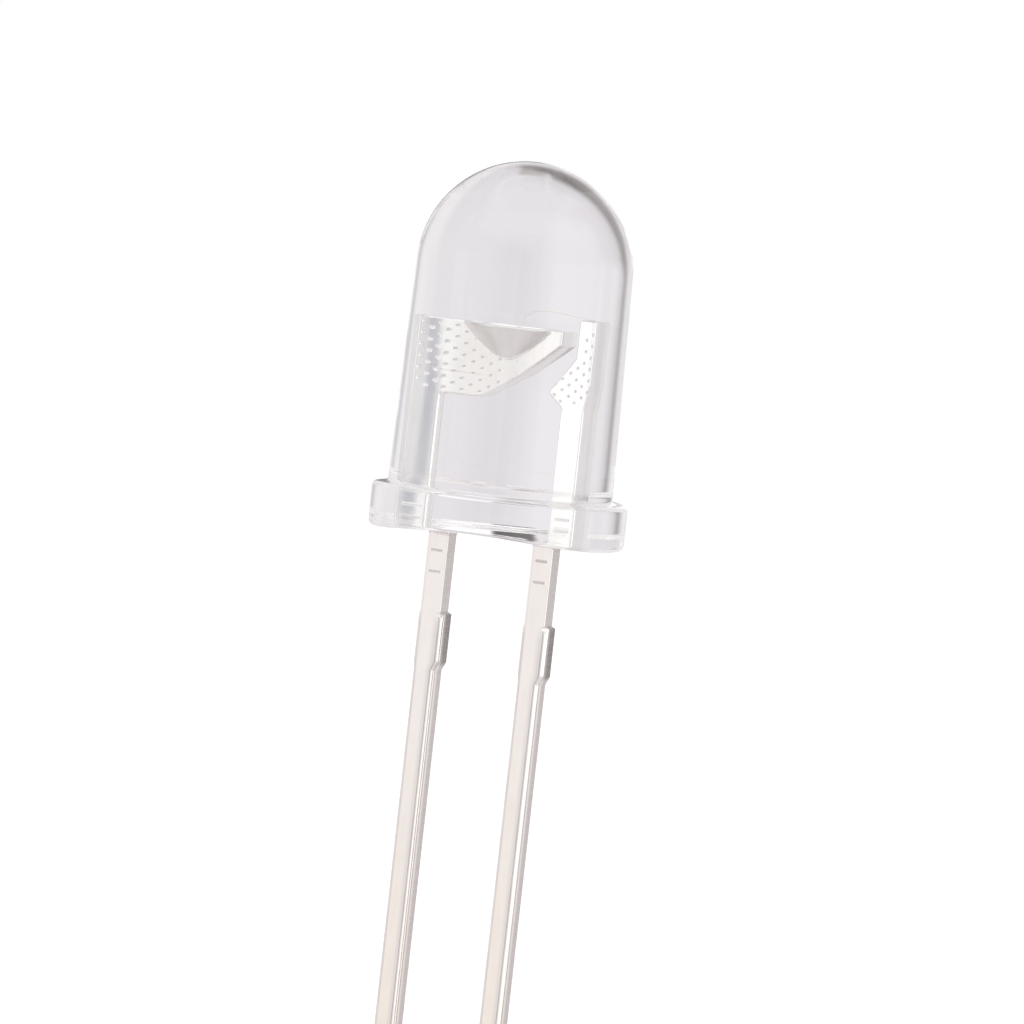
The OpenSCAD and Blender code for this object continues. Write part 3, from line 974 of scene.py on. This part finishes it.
def die_rings(side=24):
    """Rings as wide as size times half the die. roundness turns the square, whose points
    run evenly round its sides, into a circle by dividing by the distance to the middle."""
    edge = np.linspace(-1, 1, side, endpoint=False)
    ones = np.ones(side)
    square = np.concatenate([np.stack([edge, -ones], 1), np.stack([ones, edge], 1),
                             np.stack([-edge, ones], 1), np.stack([-ones, -edge], 1)])
    circle = square / np.linalg.norm(square, axis=1, keepdims=True)
    foot, top = chip_low[2], chip_high[2]
    table = np.array([        # roundness, size, height, top mark, pad mark
        (0, 0.50, foot, 0, 0), (0, 0.99, foot, 0, 0), (0, 1.0, foot + 0.002, 0, 0),
        (0, 1.0, foot + 0.05, 0, 0), (0, 0.955, foot + 0.07, 0, 0),
        (0, 0.95, top - 0.006, 0, 0), (0, 0.945, top - 0.004, 0.5, 0),
        (0, 0.92, top - 0.004, 1, 0), (0, 0.75, top - 0.004, 1, 0),
        (1, 0.50, top - 0.004, 1, 0), (1, 0.495, top - 0.001, 0, 1),
        (1, 0.48, top, 0, 1), (1, 0.2, top, 0, 1)])
    half = (chip_high[0] - chip_low[0]) / 2
    middle = (chip_low[:2] + chip_high[:2]) / 2
    rings = [np.column_stack([
        middle + half * size * (circle if roundness else square), np.full(4 * side, height)])
        for roundness, size, height in table[:, :3]]
    marks = {name: np.outer(np.concatenate([[0], values, values[-1:]]), np.ones(4 * side))
             for name, values in (("top", table[:, 3]), ("pad", table[:, 4]))}
    return np.array(rings), marks


rings, marks = die_rings()
make_piece("led_die", between_poles(rings), die_crystal(), ["led_chip"], marks,
           crease=25)

# %% [markdown]
# ## The bond wire
#
# A gold thread 0.03 mm thick runs from a ball on the die to the post, where the tool
# squashes its end flat. It leaves the ball straight up and arches over, so its path is a
# cubic with the same two handles as in the construction model.

# %% Bond wire
DIE_TOP, WIRE_R, BALL_R = float(chip_high[2]), 0.015, 0.045
LOOP_RISE, LOOP_FALL, STITCH = 0.34, 0.14, 0.1


def gold_thread():
    """Drawn gold seen small: pale, bright and faintly lined."""
    material, tree, shader = new_material("gold_thread", Metallic=1.0)
    lines = noise(tree, (0.025, 0.025, 0.025), 3.0)
    feed(tree, shader,
         Base_Color=tones(tree, lines, (0.92, 0.895, 0.86), (0.97, 0.95, 0.92)),
         Roughness=tones(tree, lines, 0.16, 0.3))
    return material


def wire_rings(around=24, along=72):
    """Rings square to the path (1-t)^3 a + 3(1-t)^2 t b + 3(1-t) t^2 c + t^3 d in the
    plane y = 0, then along the stitch. Near the die the radius is that of the ball, whose
    foot is cut flat by the pad, and on the stitch the ring is squashed to half its height."""
    pull = np.array([[0, DIE_TOP], [0, POST_Z + LOOP_RISE], [0.4, POST_Z + LOOP_FALL],
                     [POST_OUT - 0.3, POST_Z + WIRE_R * 0.6]])
    t = np.concatenate([np.linspace(0, 0.036, 8), np.linspace(0.045, 1, along)])[:, None]
    arch = (1 - t) ** 3 * pull[0] + 3 * (1 - t) ** 2 * t * pull[1] \
        + 3 * (1 - t) * t ** 2 * pull[2] + t ** 3 * pull[3]
    path = np.concatenate([arch, pull[3] + [[STITCH / 2, 0], [STITCH, 0]]])
    slope = np.gradient(path, axis=0)
    slope /= np.linalg.norm(slope, axis=1, keepdims=True)
    above = path[:, 1] - DIE_TOP - 0.6 * BALL_R
    ball = np.sqrt(np.clip(BALL_R ** 2 - above ** 2, 0, None)) * (path[:, 0] < BALL_R)
    radius = np.maximum(WIRE_R, ball)
    squash = smooth(pull[3, 0] - 0.08, pull[3, 0], path[:, 0])
    high, wide = radius * (1 - 0.45 * squash), radius * (1 + 0.7 * squash)
    angle = full_turn(around)
    lifted = high[:, None] * np.cos(angle)
    return np.stack([path[:, :1] + slope[:, 1:] * lifted, wide[:, None] * np.sin(angle),
                     path[:, 1:] - slope[:, :1] * lifted], axis=-1)


make_piece("gold_bond_wire", between_poles(wire_rings()), gold_thread(),
           ["bond_wire"], crease=60)

# %% [markdown]
# ## A pale floor
#
# The part stands over a sheet of white paper that fades into the background and keeps its
# soft shadow. The sheet is hidden from reflections and from the lens, so that both see the
# studio instead of an endless floor, and from below it is clear, so that the underside can
# be looked at.

# %% Floor
PAPER_HALF, PAPER_DROP = 400, 0.02   # half its width, and how far it is below the tips


def studio_paper():
    """White paper with a little light of its own for the camera, clear from behind."""
    material, tree, shader = new_material("studio_paper", Roughness=0.9)
    fibres = noise(tree, (1.5, 1.5, 1.5), 3.0)
    feed(tree, shader, Base_Color=tones(tree, fibres, 0.855, 0.865))
    rays = add(tree, "ShaderNodeLightPath")
    seen = maths(tree, "MAXIMUM", rays.outputs["Is Camera Ray"],
                 maths(tree, "MAXIMUM", rays.outputs["Is Glossy Ray"],
                       rays.outputs["Is Transmission Ray"]))
    shader.inputs["Emission Color"].default_value = (1, 1, 1, 1)
    feed(tree, shader, Emission_Strength=maths(tree, "MULTIPLY", seen, 0.3))
    behind = add(tree, "ShaderNodeNewGeometry").outputs["Backfacing"]
    clear = add(tree, "ShaderNodeBsdfTransparent").outputs[0]
    both = add(tree, "ShaderNodeMixShader", {0: behind, 1: shader.outputs[0], 2: clear})
    feed(tree, tree.nodes["Material Output"], Surface=both.outputs[0])
    return material


floor_z = ANODE_TIP - PAPER_DROP
floor_mesh = bpy.data.meshes.new("studio_floor")
floor_mesh.from_pydata([(x * PAPER_HALF * MM, y * PAPER_HALF * MM, floor_z * MM) for x, y in
                        ((-1, -1), (1, -1), (1, 1), (-1, 1))], [], [(0, 1, 2, 3)])
floor_mesh.materials.append(studio_paper())
floor = bpy.data.objects.new("studio_floor", floor_mesh)
bpy.context.scene.collection.objects.link(floor)
floor.visible_glossy = False
floor.visible_transmission = False
print("floor at", floor_z, "mm")

# %% [markdown]
# ## The studio round the part
#
# Clear resin and silver have no look of their own: they show what stands round them. So the
# studio is built as a world of soft panels, each with a bearing from straight behind the
# part, a rise, a size and a tone. Grey paper stands behind with a clamp and a lamp, bright
# windows are on both sides of the camera, and the camera itself is a dark strip. Where the
# paper ends runs a dark gap, a piece of a ring, and the dome bends it into the dark stroke
# along its outline. The camera's own rays see plain white instead.

# %% Panels and gap
CAMERA_TURN, CAMERA_RISE, CAMERA_LEAN = 20.0, 3.5, 6.376     # degrees
MOST_BOUNCES = 256           # so that light can find its way out of the resin
BACKDROP = (0.725, 0.700, 0.720)
PANELS = [  # bearing, rise, half width, half height, softness, tone
    (0, -8, 44, 38, 14, (0.785, 0.760, 0.785)),   # light on the middle of the paper
    (180, 0, 90, 90, 6, (0.93, 0.91, 0.90)),      # the room on the camera's side
    (180, -90, 90, 52, 9, (0.90, 0.84, 0.84)),    # the table in front
    (-150, -56, 13, 20, 8, (0.60, 0.555, 0.56)),  # the shadow of the camera on it
    (180, 50, 70, 18, 8, (1.30, 1.29, 1.28)),     # a light above the camera
    (-20, -11, 11, 13, 5, (0.825, 0.80, 0.825)),  # light on the paper, left
    (6, -6, 5.5, 4, 4, (0.75, 0.725, 0.75)),      # a fold in the middle
    (-43, -4, 9, 5, 4, (0.83, 0.805, 0.83)),      # light on the paper, further left
    (3, -57, 11, 5, 3, (0.53, 0.50, 0.495)),      # the foot of the paper
    (0, 90, 180, 30, 8, (1.08, 1.08, 1.08)),      # the light above
    (56, 0, 12, 60, 6, (0.87, 0.855, 0.86)),      # light past the window's frame
    (9, 8.5, 8, 8, 1.2, (1.15, 1.15, 1.15)),      # a lamp behind the part
    (-7, 45, 6, 14, 4, (0.50, 0.47, 0.475)),      # the arm of a clamp
    (-5.8, 7.5, 6.5, 7, 1.2, (0.13, 0.115, 0.115)),   # the clamp
    (-83, 2, 9, 18, 4, (0.93, 0.92, 0.92)),       # light past the gap
    (79, -5, 7, 60, 3, (0.50, 0.48, 0.49)),       # frame of the right window
    (118, -3, 32, 14, 3, (1.35, 1.35, 1.35)),     # window on the right
    (-94, -3, 7, 15, 3, (0.85, 0.84, 0.84)),      # frame of the left window
    (-109, -3, 9, 15, 3, (1.35, 1.35, 1.35)),     # left window
    (-125, -3, 7, 15, 3, (1.08, 1.06, 1.05)),     # its curtain
    (-169, -3, 5, 25, 1.5, (1.06, 1.05, 1.05)),   # lamp beside the camera
    (167, -3, 5, 25, 2, (0.84, 0.83, 0.84)),      # stand beside the camera
    (179, -3, 6, 25, 1.5, (0.52, 0.53, 0.59))]    # the camera
GAP_TONE = (0.12, 0.10, 0.095)
GAP = [  # clock from the left, inner and outer edge, strength
    (-20, 60, 65, 0.0), (-4, 59, 66, 0.7), (5, 57, 65, 0.85), (11, 54, 65, 0.88),
    (30, 51.5, 65, 0.85), (46, 50, 66, 0.85), (60, 49.2, 68, 0.95), (72, 49, 68, 1.0),
    (78, 49, 67, 0.9), (82, 55, 67, 1.0), (88, 55, 68, 1.0), (93, 58, 69, 0.85),
    (97, 58.5, 68, 0.8), (101, 62, 68, 0.2), (105, 66, 70, 0.0)]


print("brightest panel:", max(max(panel[-1]) for panel in PANELS))

# %% [markdown]
# ## Panels and gap as one world
#
# A lamp would light the part but couldn't be drawn so finely in the resin. A world shader
# can: for each direction it works out the bearing and the rise, and mixes in one panel after
# the other where both lie within the panel's half width and half height.

# %% World


def panel_window(tree, angle, centre, half, soft):
    """1 within half degrees of a centre and 0 beyond, along an S curve 2 * soft wide."""
    away = maths(tree, "WRAP", maths(tree, "SUBTRACT", angle, centre), 180.0, -180.0)
    return scaled(tree, maths(tree, "ABSOLUTE", away), half - soft, half + soft, 1.0, 0.0)


def panel_tones(tree, turned):
    """The panels laid over the backdrop one after the other, by bearing and rise."""
    axes = add(tree, "ShaderNodeSeparateXYZ", {"Vector": turned})
    right, behind, up = (axes.outputs[axis] for axis in "XYZ")
    bearing = maths(tree, "DEGREES", maths(tree, "ARCTAN2", right, behind))
    rise = maths(tree, "DEGREES", maths(tree, "ARCSINE", up))
    tone = (*BACKDROP, 1)
    for centre, middle, half_wide, half_high, soft, panel in PANELS:
        share = maths(tree, "MULTIPLY", panel_window(tree, bearing, centre, half_wide, soft),
                      panel_window(tree, rise, middle, half_high, soft))
        tone = mix(tree, share, tone, (*panel, 1))
    return tone


def gap_depth(tree, turned):
    """How dark the gap is. It is a ring round the camera's way straight back, whose edges
    and strength depend on the clock. Its inner edge is soft with a faint shadow before it,
    and its outer edge fades over 12 degrees."""
    level = add(tree, "ShaderNodeVectorRotate", {
        "Vector": turned, "Angle": math.radians(CAMERA_RISE)}, rotation_type="X_AXIS")
    axes = add(tree, "ShaderNodeSeparateXYZ", {"Vector": level.outputs["Vector"]})
    clock = maths(tree, "DEGREES", maths(
        tree, "ARCTAN2", maths(tree, "MULTIPLY", axes.outputs["Z"], -1.0),
        maths(tree, "MULTIPLY", axes.outputs["X"], -1.0)))
    away = maths(tree, "DEGREES", maths(tree, "ARCCOSINE", axes.outputs["Y"]))
    gap = ramp(tree, maths(tree, "MULTIPLY_ADD", clock, 1 / 360, 0.5),
               [(0.5 + angle / 360, (start / 180, end / 180, strength))
                for angle, start, end, strength in GAP])
    ring = add(tree, "ShaderNodeSeparateColor", {"Color": gap})
    past = maths(tree, "MULTIPLY_ADD", ring.outputs["Red"], -180.0, away)
    beyond = maths(tree, "MULTIPLY_ADD", ring.outputs["Green"], -180.0, away)
    shadow = maths(tree, "ADD", scaled(tree, past, -14.0, 0.0, 0.0, 0.22),
                   scaled(tree, past, -4.0, 5.0, 0.0, 0.78))
    return maths(tree, "MULTIPLY", maths(tree, "MULTIPLY", shadow, ring.outputs["Blue"]),
                 scaled(tree, beyond, -5.0, 7.0, 1.0, 0.0))


def studio_world():
    """The panels with the gap over them, turned to face the camera. Its own rays see
    white."""
    world = bpy.data.worlds.new("studio")
    bpy.context.scene.world = world
    world.use_nodes = True
    tree = world.node_tree
    way = add(tree, "ShaderNodeTexCoord").outputs["Generated"]
    turned = add(tree, "ShaderNodeVectorRotate", {
        "Vector": way, "Angle": -math.radians(CAMERA_TURN)},
        rotation_type="Z_AXIS").outputs["Vector"]
    tone = panel_tones(tree, turned)
    tone = mix(tree, gap_depth(tree, turned), tone, (*GAP_TONE, 1))
    rays = add(tree, "ShaderNodeLightPath")
    seen = mix(tree, rays.outputs["Is Camera Ray"], tone, (1, 1, 1, 1))
    feed(tree, tree.nodes["Background"], Color=seen)
    return world


studio = studio_world()
for limit in ("max_bounces", "transmission_bounces", "glossy_bounces"):
    setattr(bpy.context.scene.cycles, limit, MOST_BOUNCES)
print("studio with", len(PANELS), "panels and", len(studio.node_tree.nodes), "nodes")

# %% [markdown]
# ## The camera
#
# A long lens far away keeps the leads almost parallel. The camera stands to the anode's side
# and a little above, and leans, because the part is shown slightly tilted in its frame.

# %% Camera
DISTANCE, AIM_Z, FOCAL = 150, 3, 232.1       # mm from the point aimed at, its z, the lens
SHIFT_RIGHT, SHIFT_DOWN = 0.0555, 2.4        # mm along the leaning frame
azimuth, rise, lean = map(math.radians, (CAMERA_TURN, CAMERA_RISE, CAMERA_LEAN))
back = Vector((math.sin(azimuth) * math.cos(rise), -math.cos(azimuth) * math.cos(rise),
               math.sin(rise)))
right = Vector((math.cos(azimuth), math.sin(azimuth), 0))
up = back.cross(right)
leaning_right = right * math.cos(lean) + up * math.sin(lean)
leaning_up = up * math.cos(lean) - right * math.sin(lean)
place = Vector((0, 0, AIM_Z)) + back * DISTANCE + leaning_right * SHIFT_RIGHT \
    - leaning_up * SHIFT_DOWN
lens_data = bpy.data.cameras.new("studio_camera")
lens_data.lens = FOCAL
lens_data.clip_start = 0.001
camera = bpy.data.objects.new("studio_camera", lens_data)
camera.matrix_world = Matrix.Translation(place * MM) @ Matrix(
    (leaning_right, leaning_up, back)).transposed().to_4x4()
bpy.context.scene.collection.objects.link(camera)
bpy.context.scene.camera = camera
bpy.context.scene.view_settings.view_transform = "Standard"
print("camera", round(place.length, 1), "mm away")
